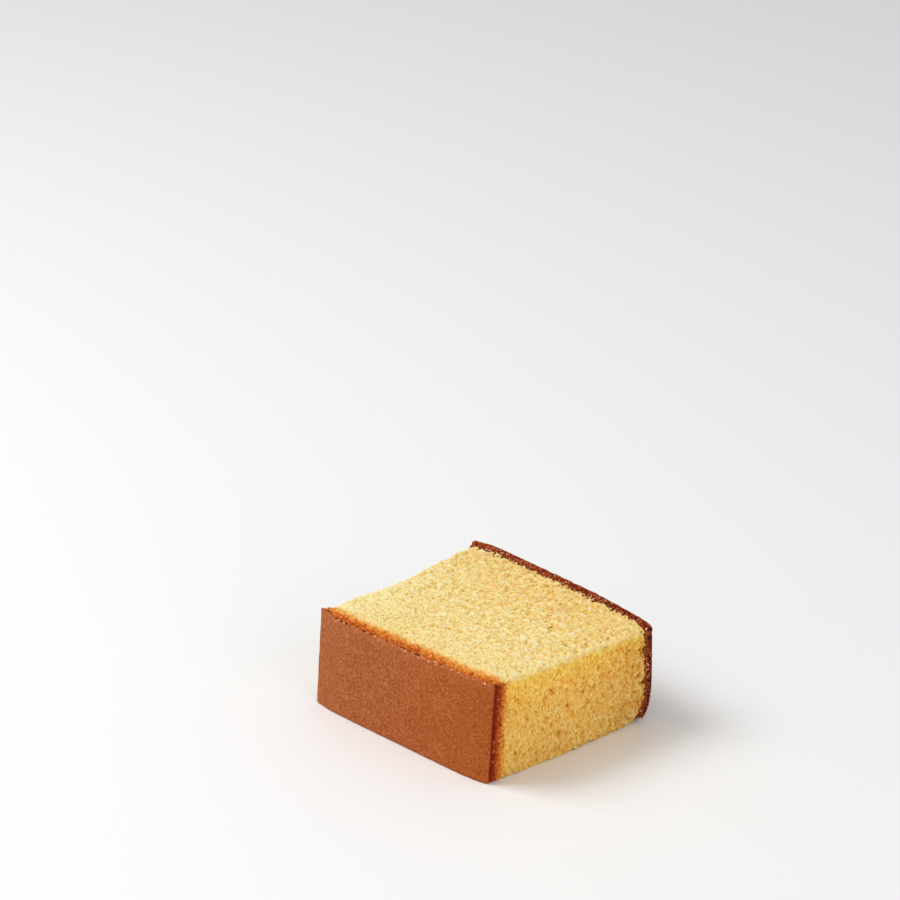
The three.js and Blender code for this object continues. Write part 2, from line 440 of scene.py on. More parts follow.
def crumbRelief():
    tree, start, end = newGeometryTree("crumbRelief")
    place = placeInMm(tree)
    parts = addNode(tree, "SeparateXYZ", {0: place})
    level = parts.outputs["Z"]
    fromTop = distanceFrom(tree, topSheet)
    fromBottom = distanceFrom(tree, bottomSheet)
    onEnd = facingShare(tree, "X", *crumbValues["endFacing"])

    # Pores, grain and clods
    pores = addNode(tree, "Mix", {
        "data_type": "FLOAT", 0: onEnd, 2: poreDepth(tree, place, (1, 1, 1)),
        3: poreDepth(tree, place, poreValues["upright"])})
    grain = addNode(tree, "TexNoise", {
        "Vector": place, "Scale": 1 / grainValues["grainSize"], "Detail": 3.0, "Roughness": 0.7})
    grainHeight = addNode(tree, "Math", {0: grain, **swing(grainValues["grain"])})
    grainAndPores = addNode(tree, "Math", {**minus, 0: grainHeight, 1: pores})
    lumps = addNode(tree, "TexNoise", {
        "Vector": place, "Scale": 1 / grainValues["lumpSize"], "Detail": 1.0})
    centred = addNode(tree, "Math", {**minus, 0: lumps, 1: 0.5})
    lumpHeight = addNode(tree, "MapRange", {
        "Value": fromTop, **span(*grainValues["lumpReach"], 0.0, 2 * grainValues["lump"])})
    rough = addNode(tree, "Math", {**timesPlus, 0: centred, 1: lumpHeight, 2: grainAndPores})

    # More of it where the knife tore the crumb, and less where the slice is pressed down
    rougherTop = addNode(tree, "MapRange", {
        **smooth, "Value": fromTop, **span(*grainValues["topReach"], 1 + grainValues["rougherTop"], 1.0)})
    rougherEnd = addNode(tree, "MapRange", {
        "Value": fromBottom, **span(*grainValues["endReach"], 0.0, grainValues["rougherEnd"])})
    rougher = addNode(tree, "Math", {**timesPlus, 0: onEnd, 1: rougherEnd, 2: rougherTop})
    tornRough = addNode(tree, "Math", {**times, 0: rough, 1: rougher})
    free = addNode(tree, "MapRange", {
        **smooth, "Value": level, **span(*grainValues["pressed"], grainValues["pressedShare"], 1.0)})
    relief = addNode(tree, "Math", {**times, 0: tornRough, 1: free})

    # Sunk under the crusts, with torn teeth along the bottom one
    teeth = addNode(tree, "TexNoise", {
        "Vector": place, "Scale": 1 / crumbEdges["teethSize"], "Detail": 2.0})
    bottomDepth = crumbEdges["bottomDepth"]
    toothed = addNode(tree, "MapRange", {
        "Value": teeth, **span(*crumbEdges["teethNoise"], bottomDepth, bottomDepth + crumbEdges["teeth"])})
    pastTop = addNode(tree, "Math", {**minus, 0: fromTop, 1: crumbEdges["topDepth"]})
    pastBottom = addNode(tree, "Math", {**minus, 0: fromBottom, 1: toothed})
    pastCrust = addNode(tree, "Math", {"operation": "MINIMUM", 0: pastTop, 1: pastBottom})
    sink = addNode(tree, "MapRange", {
        **smooth, "Value": pastCrust, **span(*crumbEdges["sinkReach"], crumbEdges["sink"], 0.0)})
    sunk = addNode(tree, "Math", {**minus, 0: relief, 1: sink})

    # Nicked along its lower edge
    gaps = addNode(tree, "TexNoise", {
        "Vector": place, "Scale": 1 / crumbEdges["nickSize"], "Detail": 2.0})
    gap = addNode(tree, "MapRange", {
        "Value": gaps, **span(*crumbEdges["nickNoise"], 0.0, crumbEdges["nick"])})
    low = addNode(tree, "MapRange", {
        **smooth, "Value": level, **span(*crumbEdges["nickHeight"], 1.0, 0.0)})
    nick = addNode(tree, "Math", {**times, 0: gap, 1: low})
    nicked = addNode(tree, "Math", {**minus, 0: sunk, 1: nick})
    swollen = addNode(tree, "Math", {**plus, 0: nicked, 1: crumbValues["swell"]})

    # Worn at one corner
    wearAlong = addNode(tree, "MapRange", {"Value": parts, **span(*crumbEdges["wearAlong"])})
    wearAcross = addNode(tree, "MapRange", {
        "Value": fromTop, **span(*crumbEdges["wearReach"], 0.0, -crumbEdges["cornerWear"])})
    spared = addNode(tree, "MapRange", {
        "Value": fromTop, **span(*crumbEdges["spared"], crumbEdges["sparedShare"], 1.0)})
    wear = addNode(tree, "Math", {**times, 0: wearAcross, 1: spared})
    worn = addNode(tree, "Math", {**timesPlus, 0: wearAlong, 1: wear, 2: swollen})

    # The rounded edges of the ends: the upper ones are marked for the painted glow, the lower ones count as
    # end
    wholeEnd = facingShare(tree, "X", *crumbValues["roundFacing"])
    rounded = addNode(tree, "Math", {**minus, 0: wholeEnd, 1: onEnd})
    upper = addNode(tree, "MapRange", {"Value": level, **span(*crumbValues["upperEdge"])})
    onArris = addNode(tree, "Math", {**times, 0: rounded, 1: upper})
    belowArris = addNode(tree, "Math", {**minus, 0: wholeEnd, 1: onArris})

    stored = {"fromTop": fromTop, "fromBottom": fromBottom, "pastBottom": pastBottom, "relief": tornRough,
              "onEnd": belowArris, "onArris": onArris}
    storeAndMove(tree, start, end, stored, worn)
    return tree


spongeCrumb = crumbBody()
applyNodes(spongeCrumb, crumbRelief())
print("crumb made")


# Small loose things on the surfaces

def whereAll(tree, tests):
    # True where every test holds: a field or the name of an attribute, how it compares, its limit
    chosen = None
    for field, operation, limit in tests:
        if isinstance(field, str):
            field = addNode(tree, "GeometryNodeInputNamedAttribute", {"data_type": "FLOAT", "Name": field})
        holds = addNode(tree, "FunctionNodeCompare", {"operation": operation, 0: field, 1: limit})
        if chosen:
            holds = addNode(tree, "FunctionNodeBooleanMath", {"operation": "AND", 0: chosen, 1: holds})
        chosen = holds
    return chosen


def lookingUp(tree):
    normal = addNode(tree, "GeometryNodeInputNormal")
    return addNode(tree, "SeparateXYZ", {0: normal}).outputs["Z"]


def scatterBits(name, host, bit, values, chosenFaces):
    # Copies of a small solid of 1 mm spread over the chosen faces of a piece, as one real mesh
    tree, start, end = newGeometryTree(name)
    points = addNode(tree, "GeometryNodeDistributePointsOnFaces", {
        "Mesh": start, "Selection": chosenFaces(tree), "Density": values["perSquareMm"] / mm ** 2,
        "Seed": values["seed"]})
    source = addNode(tree, "GeometryNodeObjectInfo", {"Object": bit})
    size = addNode(tree, "FunctionNodeRandomValue", {
        "data_type": "FLOAT", 2: values["small"], 3: values["large"], "Seed": values["seed"]})
    tumble = addNode(tree, "FunctionNodeRandomValue", {
        "data_type": "FLOAT_VECTOR", 1: (math.tau, math.tau, math.tau), "Seed": values["seed"] + 1})
    turn = points.outputs["Rotation"] if values["lyingFlat"] else tumble
    placed = addNode(tree, "GeometryNodeInstanceOnPoints", {
        "Points": points, "Instance": source.outputs["Geometry"], "Rotation": turn, "Scale": size})
    real = addNode(tree, "GeometryNodeRealizeInstances", {0: placed})
    tree.links.new(pressFlat(tree, real).outputs[0], end.inputs[0])
    piece = bpy.data.objects.new(name, host.data.copy())
    bpy.context.scene.collection.objects.link(piece)
    applyNodes(piece, tree)
    bpy.data.objects.remove(bit)
    return piece


def roughBit(flattened, seed):
    deselectAll()
    bpy.ops.mesh.primitive_ico_sphere_add(subdivisions=1, radius=mm)
    bpy.ops.object.mode_set(mode="EDIT")
    bpy.ops.transform.resize(value=flattened)
    bpy.ops.transform.vertex_random(offset=0.25 * mm, seed=seed)
    bpy.ops.object.mode_set(mode="OBJECT")
    return bpy.context.active_object


def sugarCrystal():
    deselectAll()
    bpy.ops.mesh.primitive_cube_add(size=2 * mm)
    bpy.ops.object.mode_set(mode="EDIT")
    bpy.ops.transform.resize(value=(1.0, 0.85, 0.7))
    bpy.ops.mesh.bevel(offset=0.25 * mm, segments=1)
    bpy.ops.object.mode_set(mode="OBJECT")
    return bpy.context.active_object


# Crumbs that the knife left standing on the cut faces

bitValues = {
    "perSquareMm": 1.15,
    "small": 0.16,  # mm across, half
    "large": 0.42,
    "flattened": (1.0, 0.75, 0.6),
    "lyingFlat": False,
    "lookingUp": -0.3,  # by more than this, so that none hangs under the slice
    "clearOfTop": 1.3,  # mm from the top crust's outer face
    "seed": 7,
}


def onCutFaces(tree):
    return whereAll(tree, [("fromTop", "GREATER_THAN", bitValues["clearOfTop"]),
                           ("pastBottom", "GREATER_THAN", 0.0),
                           (lookingUp(tree), "GREATER_THAN", bitValues["lookingUp"])])


looseBit = roughBit(bitValues["flattened"], bitValues["seed"])
looseCrumbs = scatterBits("looseBits", spongeCrumb, looseBit, bitValues, onCutFaces)


# Scraps of the browned skin, torn up by the knife along its upper edge

scrapValues = {
    "perSquareMm": 2.6,
    "low": -0.6,  # mm, from here
    "high": -0.05,  # to here above the torn line
    "deepest": 0.6,  # mm into the crust
    "small": 0.16,  # mm across, half
    "large": 0.42,
    "flattened": (1.0, 0.55, 0.3),
    "lyingFlat": True,
    "seed": 3,
}


def alongTornLine(tree):
    height = aboveTornLine(tree, placeInMm(tree))
    return whereAll(tree, [(height, "GREATER_THAN", scrapValues["low"]),
                           (height, "LESS_THAN", scrapValues["high"]),
                           ("depth", "LESS_THAN", scrapValues["deepest"])])


skinScrap = roughBit(scrapValues["flattened"], scrapValues["seed"])
skinScraps = scatterBits("skinScraps", topCrust, skinScrap, scrapValues, alongTornLine)


# Grains of coarse sugar that did not melt in the bottom crust

sugarValues = {
    "perSquareMm": 0.34,
    "small": 0.12,  # mm across, half
    "large": 0.24,
    "cutShare": 0.5,  # only where it looks up or to the end by more than this
    "shallowest": 0.8,  # mm into the crust
    "lookingUp": -0.3,
    "lyingFlat": False,
    "seed": 11,
}


def onCutCrust(tree):
    onTop, onEnd = (addNode(tree, "GeometryNodeInputNamedAttribute", {"data_type": "FLOAT", "Name": name})
                    for name in ("onTop", "onEnd"))
    cutFace = addNode(tree, "Math", {"operation": "MAXIMUM", 0: onTop, 1: onEnd})
    return whereAll(tree, [(cutFace, "GREATER_THAN", sugarValues["cutShare"]),
                           (lookingUp(tree), "GREATER_THAN", sugarValues["lookingUp"]),
                           ("depth", "GREATER_THAN", sugarValues["shallowest"])])


sugarGrains = scatterBits("sugarGrains", bottomCrust, sugarCrystal(), sugarValues, onCutCrust)
print("crumbs, scraps and sugar made")


# Materials

def newMaterial(name, kept=(), noises=None):
    # The place is in millimetres. The fields are those that the relief kept on the mesh, and
    # noises, given as {name: (size in millimetres, detail, stops of its colours if it has any)}.
    material = bpy.data.materials.new(name)
    material.use_nodes = True
    tree = material.node_tree
    tree.nodes.clear()
    position = addNode(tree, "TexCoord").outputs["Object"]
    place = addNode(tree, "VectorMath", {"operation": "SCALE", 0: position, "Scale": 1 / mm})
    fields = {}
    for key in kept:
        fields[key] = addNode(tree, "Attribute", {"attribute_name": key}).outputs["Fac"]
    for key, (size, detail, *stops) in (noises or {}).items():
        fields[key] = addNode(tree, "TexNoise", {
            "Vector": place, "Scale": 1 / size, "Detail": detail, "Roughness": 0.65})
        if stops:
            fields[key] = addNode(tree, "ValToRGB", {"Fac": fields[key], "stops": stops[0]})
    return material, tree, place, fields


def finishMaterial(tree, settings):
    surface = addNode(tree, "BsdfPrincipled", settings)
    addNode(tree, "OutputMaterial", {"Surface": surface})


crumbLooks = {
    "relief": (-0.8, 0.25),  # mm, from the floor of a pore to the top of the grain: from painted shade to painted highlight
    "cut": {0.0: "#98720e", 0.42: "#f2d278", 1.0: "#ffffd8"},
    # the ends are painted deeper and more orange than the upper face: painted shade and bounce light of the
    # shaded ends
    "end": {0.0: "#c07e20", 0.45: "#fac45a", 1.0: "#ffe794"},
    "flecks": {0.34: "#c29a48", 0.5: "#ffffff", 0.66: "#fffdf0"},
    "threads": {0.34: "#b88850", 0.5: "#ffffff", 0.66: "#fffaec"},
    "flecked": 0.9,  # shares of the two
    "threaded": 0.85,
    "threadSize": 0.38,  # mm
    "threadLines": (1.0, 1.0, 0.35),  # drawn out upwards
    "fuzz": 0.14,  # mm
    "looseCut": {0.35: "#f0d17c", 0.6: "#fdecae"},
    # loose bits on the ends carry the same painted deeper colour
    "looseEnd": {0.35: "#f0ba54", 0.6: "#ffd478"},
    "thickness": (0, 27),  # mm above the lower cut face
    # painted glow under the upper edge of the ends, and painted shade low down
    "endGlowAndShade": {0.0: "#ebe9e9", 0.25: "#f1eee8", 0.6: "#f4efe8", 0.8: "#f9f3de", 0.95: "#ffffda"},
    "paintedLightAlong": (-28, -8),  # mm along X, over which the painted light on the upper face fades
    "lessPaintedLight": "#fffaf2",
    # painted glow of the rounded upper edges
    "arris": "#ffecaa",
    "arrisGrains": (0.42, 0.56),  # noise, from a grain with least of it to one with all
    "arrisLeast": 0.4,
    "deepened": 0.38,  # at the bottom crust
    "evenFrom": 42.0,  # mm from it on the cut faces
    "endEvenFrom": 26.0,  # and on the ends
    "deepTint": "#f4d59a",
    "endDeepTint": "#dad1c8",
    "browned": 5.0,  # mm, how far the browning reaches from the top crust
    "endBrowned": 1.2,  # mm, further on the ends
    "darkest": 1.0,  # mm from it: as brown as it gets
    "patchy": 1.3,  # mm, unevenness of that reach, broad
    "cloddy": 3.0,  # and fine
    "fading": 0.45,  # share of the reach from which the crumb's own colour shows
    "upperBand": {0.0: "#bc5a22", 0.18: "#de8434", 0.4: "#eca64e", 0.65: "#f2c26e", 1.0: "#fae4a6"},
    "endBand": {0.0: "#882a14", 0.2: "#983c1c", 0.36: "#be6226", 0.52: "#d07e2c", 0.68: "#dc9c3e",
                1.0: "#eeba54"},
    "crustFlakes": "#8a4424",
    "flaked": (0.0, 0.35),  # mm past the torn edge along the bottom crust
}
crumbFields = ("fromTop", "fromBottom", "pastBottom", "onEnd", "onArris")
crumbNoises = {"grains": (0.5, 2), "patches": (1.6, 2), "clods": (0.7, 2)}


def crumbColour(tree, place, fields, cut, end):
    # cut and end are the colours of the two kinds of face before moisture and browning
    parts = addNode(tree, "SeparateXYZ", {0: place})
    onEnd = fields["onEnd"]

    # Painted light: the ends glow golden just under the upper edge, and painted shade makes them duller
    # near what the slice lies on
    level = addNode(tree, "MapRange", {"Value": parts.outputs["Z"], **span(*crumbLooks["thickness"])})
    paintedGlowAndShade = addNode(tree, "ValToRGB", {"Fac": level, "stops": crumbLooks["endGlowAndShade"]})
    end = addNode(tree, "Mix", {**multiplied, 6: end, 7: paintedGlowAndShade})

    # Painted light: the upper face is palest at the -X end, towards the key light
    along = addNode(tree, "MapRange", {"Value": parts, **span(*crumbLooks["paintedLightAlong"])})
    lessPaintedLight = addNode(tree, "Mix", {**multiplied, 6: cut, 7: crumbLooks["lessPaintedLight"]})
    cut = addNode(tree, "Mix", {**mixed, 0: along, 6: cut, 7: lessPaintedLight})
    crumb = addNode(tree, "Mix", {**mixed, 0: onEnd, 6: cut, 7: end})

    # Painted glow: the rounded upper edges are lightened, grain by grain, where light would pass through
    # the loosened crumb
    grains = addNode(tree, "MapRange", {
        "Value": fields["grains"], **span(*crumbLooks["arrisGrains"], crumbLooks["arrisLeast"], 1.0)})
    glow = addNode(tree, "Math", {**times, 0: fields["onArris"], 1: grains})
    crumb = addNode(tree, "Mix", {**mixed, 0: glow, 6: crumb, 7: crumbLooks["arris"]})

    # Deeper in colour towards the bottom crust
    evenFrom = addNode(tree, "Math", {
        **timesPlus, 0: onEnd, 1: crumbLooks["endEvenFrom"] - crumbLooks["evenFrom"],
        2: crumbLooks["evenFrom"]})
    deepened = addNode(tree, "MapRange", {
        **smooth, "Value": fields["fromBottom"], **span(0.0, evenFrom, crumbLooks["deepened"], 0.0)})
    deepTint = addNode(tree, "Mix", {**mixed, 0: onEnd, 6: crumbLooks["deepTint"], 7: crumbLooks["endDeepTint"]})
    deepTone = addNode(tree, "Mix", {**mixed, 0: deepened, 6: "#ffffff", 7: deepTint})
    deeper = addNode(tree, "Mix", {**multiplied, 6: crumb, 7: deepTone})

    # Browned near the top crust, with an uneven edge
    patchy = addNode(tree, "Math", {
        0: fields["patches"], **swing(crumbLooks["patchy"], -crumbLooks["cloddy"])})
    uneven = addNode(tree, "Math", {
        **timesPlus, 0: fields["clods"], 1: 2 * crumbLooks["cloddy"], 2: patchy})
    reach = addNode(tree, "Math", {**plus, 0: fields["fromTop"], 1: uneven})
    farthest = addNode(tree, "Math", {
        **timesPlus, 0: onEnd, 1: crumbLooks["endBrowned"], 2: crumbLooks["browned"]})
    browned = addNode(tree, "MapRange", {"Value": reach, **span(crumbLooks["darkest"], farthest)})
    upperBand = addNode(tree, "ValToRGB", {"Fac": browned, "stops": crumbLooks["upperBand"]})
    endBand = addNode(tree, "ValToRGB", {"Fac": browned, "stops": crumbLooks["endBand"]})
    band = addNode(tree, "Mix", {**mixed, 0: onEnd, 6: upperBand, 7: endBand})
    plain = addNode(tree, "MapRange", {**smooth, "Value": browned, **span(crumbLooks["fading"], 1.0)})
    nearTop = addNode(tree, "Mix", {**mixed, 0: plain, 6: band, 7: deeper})

    # Torn from the bottom crust, the crumb carries dark flakes of it
    clean = addNode(tree, "MapRange", {
        **smooth, "Value": fields["pastBottom"], **span(*crumbLooks["flaked"])})
    return addNode(tree, "Mix", {**mixed, 0: clean, 6: crumbLooks["crustFlakes"], 7: nearTop})


def bakedCrumb():
    # Sponge of egg, sugar and flour: matt, and light sinks a few millimetres into it, so that
    # its pores glow yellow; under the browned top it is orange for two or three millimetres
    material, tree, place, fields = newMaterial("bakedCrumb", ("relief", *crumbFields), {
        **crumbNoises, "flecks": (0.36, 4, crumbLooks["flecks"]), "walls": (0.3, 3)})
    # Painted shade in the pores and painted highlight on the grain: the colour follows the relief
    height = addNode(tree, "MapRange", {"Value": fields["relief"], **span(*crumbLooks["relief"])})
    cut = addNode(tree, "ValToRGB", {"Fac": height, "stops": crumbLooks["cut"]})
    flecked = addNode(tree, "Mix", {**multiplied, 0: crumbLooks["flecked"], 6: cut, 7: fields["flecks"]})
    # The ends are painted a deeper, more orange yellow than the upper face: painted shade and bounce light
    # in their pores
    # The knife drew the crumb of the ends out into short upright threads
    end = addNode(tree, "ValToRGB", {"Fac": height, "stops": crumbLooks["end"]})
    drawn = addNode(tree, "VectorMath", {**times, 0: place, 1: crumbLooks["threadLines"]})
    upright = addNode(tree, "TexNoise", {
        "Vector": drawn, "Scale": 1 / crumbLooks["threadSize"], "Detail": 4.0, "Roughness": 0.65})
    threads = addNode(tree, "ValToRGB", {"Fac": upright, "stops": crumbLooks["threads"]})
    threaded = addNode(tree, "Mix", {**multiplied, 0: crumbLooks["threaded"], 6: end, 7: threads})
    # Fuzz of torn cell walls
    fuzz = addNode(tree, "Bump", {"Height": fields["walls"], "Distance": crumbLooks["fuzz"] * mm})
    finishMaterial(tree, {
        "Base Color": crumbColour(tree, place, fields, flecked, threaded), "Normal": fuzz, "Roughness": 0.9,
        "Specular IOR Level": 0.1, "Subsurface Weight": 0.4, "Subsurface Radius": (1.0, 0.5, 0.15),
        "Subsurface Scale": 1.4 * mm})
    return material


def looseCrumb():
    # Bits of the same sponge, too small for light to sink into
    material, tree, place, fields = newMaterial(
        "looseCrumb", crumbFields, {**crumbNoises, "tint": (1.1, 1)})
    cut = addNode(tree, "ValToRGB", {"Fac": fields["tint"], "stops": crumbLooks["looseCut"]})
    end = addNode(tree, "ValToRGB", {"Fac": fields["tint"], "stops": crumbLooks["looseEnd"]})
    finishMaterial(tree, {"Base Color": crumbColour(tree, place, fields, cut, end), "Roughness": 0.9,
                          "Specular IOR Level": 0.1})
    return material


skinLooks = {
    "noises": {
        "mottling": (0.4, 3, {0.3: "#8c4824", 0.5: "#af6439", 0.7: "#cc8a60"}),
        "patches": (5.0, 2, {0.35: "#f8f0ec", 0.65: "#ffffff"}),
        "flakes": (0.75, 2, {0.34: "#722408", 0.44: "#ba6024", 0.52: "#e08838", 0.6: "#eea24e",
                             0.7: "#f4c8a0"}),
        "wandering": (9.0, 2), "spots": (0.9, 2), "waves": (0.6, 2), "chips": (0.5, 2), "fuzz": (0.3, 3)},
    "along": (-28, 34),  # mm along X: pinker at first, and more of an orange brown at last
    "orange": "#fae6b8",
    "wander": 10,  # mm, how far that change wanders
    "pinholeEvery": 1.1,  # mm
    "pinhole": "#7a3014",
    "pinholeEdge": (0.1, 0.2),  # of the distance between them
    "pinholeShare": 0.45,
    "lifted": (-3.0, -0.3),  # mm above the torn line, and so below it: there the skin is paler
    "pale": "#c8784a",
    "palest": 0.2,  # share of it along the line
    "tornEdge": (-0.1, 0.1),  # mm above the line, from skin to torn away
    "gapHeight": 0.25,  # mm above the torn line
    "gapWidth": (0.14, 0.3),  # mm either way of that, from dark to none
    "gapSpots": (0.42, 0.5),  # noise, from closed to open
    # painted shade of the gaps behind the skin
    "gap": "#521408",
    "cutDepth": (0.0, 1.9),  # mm, from the outer face to the crumb
    "wavy": 1.1,  # mm, how uneven the colours of the cut edge lie in it
    "chipped": (0.58, 0.83),  # mm and noise, from skin to cut edge on the ends
    # the skin's own dark colour, partly painted shade
    "side": {0.0: "#781e0e", 0.3: "#761c0c", 0.6: "#7c2411", 0.85: "#862e16", 1.0: "#90381c"},
    "tornScrap": {0.35: "#8a3c20", 0.5: "#cc7c54", 0.62: "#e4a07c", 0.72: "#f0c0a0"},
}


def tornFlakes(tree, fields, line):
    # Above the torn line: orange crumb with flakes of skin, and painted shade in spots of gap just behind
    # the skin
    overGap = addNode(tree, "Math", {**minus, 0: line, 1: skinLooks["gapHeight"]})
    fromGap = addNode(tree, "Math", {"operation": "ABSOLUTE", 0: overGap})
    gapBand = addNode(tree, "MapRange", {"Value": fromGap, **span(*skinLooks["gapWidth"], 1.0, 0.0)})
    gapSpots = addNode(tree, "MapRange", {"Value": fields["spots"], **span(*skinLooks["gapSpots"])})
    gap = addNode(tree, "Math", {**times, 0: gapBand, 1: gapSpots})
    return addNode(tree, "Mix", {**mixed, 0: gap, 6: fields["flakes"], 7: skinLooks["gap"]})


def browningSkin():
    # The top of the cake, browned dry in the oven: matt like suede, with fine mottling
    # and pinholes, and a darker, redder edge where the knife passed through it
    material, tree, place, fields = newMaterial(
        "brownedSkin", ("depth", "cutEdge", "onEnd"), skinLooks["noises"])
    along = addNode(tree, "SeparateXYZ", {0: place})
    share = addNode(tree, "Math", {**timesPlus, 0: fields["wandering"], 1: skinLooks["wander"], 2: along})
    broad = addNode(tree, "MapRange", {"Value": share, **span(*skinLooks["along"])})
    tint = addNode(tree, "Mix", {**mixed, 0: broad, 6: "#ffffff", 7: skinLooks["orange"]})
    tinted = addNode(tree, "Mix", {**multiplied, 6: fields["mottling"], 7: tint})
    mottled = addNode(tree, "Mix", {**multiplied, 6: tinted, 7: fields["patches"]})
    cells = addNode(tree, "TexVoronoi", {"Vector": place, "Scale": 1 / skinLooks["pinholeEvery"]})
    hole = addNode(tree, "MapRange", {
        "Value": cells.outputs["Distance"],
        **span(*skinLooks["pinholeEdge"], skinLooks["pinholeShare"], 0.0)})
    holed = addNode(tree, "Mix", {**mixed, 0: hole, 6: mottled, 7: skinLooks["pinhole"]})
    # Along the torn line the skin is lifted and paler
    line = aboveTornLine(tree, place)
    lifted = addNode(tree, "MapRange", {
        "Value": line, **span(*skinLooks["lifted"], 0.0, skinLooks["palest"])})
    skin = addNode(tree, "Mix", {**mixed, 0: lifted, 6: holed, 7: skinLooks["pale"]})
    # Above the line, and all over the upper cut edge, it is torn away
    torn = addNode(tree, "MapRange", {"Value": line, **span(*skinLooks["tornEdge"])})
    flakes = tornFlakes(tree, fields, line)
    tornSkin = addNode(tree, "Mix", {**mixed, 0: torn, 6: skin, 7: flakes})
    upper = addNode(tree, "Mix", {**mixed, 0: fields["cutEdge"], 6: tornSkin, 7: flakes})
    # The ends were trimmed earlier. Their cut edge is dark: partly the skin's own colour, partly painted
    # shade of the edge that looks away from the light
    wavy = addNode(tree, "Math", {0: fields["waves"], **swing(skinLooks["wavy"])})
    depth = addNode(tree, "Math", {**plus, 0: wavy, 1: fields["depth"]})
    cutDepth = addNode(tree, "MapRange", {"Value": depth, **span(*skinLooks["cutDepth"])})
    side = addNode(tree, "ValToRGB", {"Fac": cutDepth, "stops": skinLooks["side"]})
    chipped = addNode(tree, "Math", {**plus, 0: fields["chips"], 1: fields["depth"]})
    trimmed = addNode(tree, "MapRange", {"Value": chipped, **span(*skinLooks["chipped"])})
    trimmedEnd = addNode(tree, "Math", {**times, 0: trimmed, 1: fields["onEnd"]})
    skinEnd = addNode(tree, "Mix", {**mixed, 0: fields["onEnd"], 6: upper, 7: skin})
    base = addNode(tree, "Mix", {**mixed, 0: trimmedEnd, 6: skinEnd, 7: side})
    suede = addNode(tree, "Bump", {"Height": fields["fuzz"], "Distance": 0.1 * mm})
    finishMaterial(tree, {"Base Color": base, "Normal": suede, "Roughness": 0.9, "Specular IOR Level": 0.1})
    return material


def scrapOfSkin():
    # The underside of the torn skin is pale and pinkish, its edges dark
    material, tree, _, fields = newMaterial("tornSkin", noises={"tint": (0.8, 1, skinLooks["tornScrap"])})
    finishMaterial(tree, {"Base Color": fields["tint"], "Roughness": 0.8, "Specular IOR Level": 0.1})
    return material


bottomLooks = {
    "noises": {
        "stains": (1.3, 2, {0.36: "#8c6860", 0.5: "#f0e6e4", 0.62: "#ffffff"}),
        "mottled": (0.6, 4, {0.32: "#662410", 0.5: "#86381a", 0.66: "#a45428"}),
        "caramel": (6.0, 3, {0.38: "#c8b0a8", 0.6: "#ffffff"}),
        "waves": (0.8, 2), "fibres": (0.6, 2)},
    "cutDepth": (0.0, 2.3),  # mm, from the outer face to the crumb
    "wavy": 0.6,  # mm
    "edge": {0.0: "#9e4419", 0.15: "#963611", 0.5: "#88290a", 0.8: "#882d0e", 1.0: "#903d1a"},
    "redAlong": (-5, 20),  # mm along X, over which the edge gets redder
    "redder": "#e2ccc8",
    # the crust's own dark colour, with painted shade towards the outer face
    "side": {0.0: "#4c150b", 0.3: "#62200f", 0.55: "#823820", 0.8: "#a66038", 1.0: "#c07a44"},
    "blotches": {0.36: "#6a4640", 0.5: "#e6dcd8", 0.6: "#ffffff"},
    "fibres": "#c67a4c",
    "fibrous": (0.53, 0.64),  # noise, from none to a fibre
    # painted shade in the pits
    "pits": "#50140a",
    "pitted": (0.1, 0.4),  # mm deep, from none to a pit full of painted shade
    "pitShare": 0.85,
    # painted highlight along the rim
    "rim": "#cc8458",
    "rimDepth": (0.15, 0.4),  # mm, over which it fades
    "rimShare": 0.8,
    "creaseSize": 1.25,  # mm
    "creaseDepth": 0.35,  # mm
}


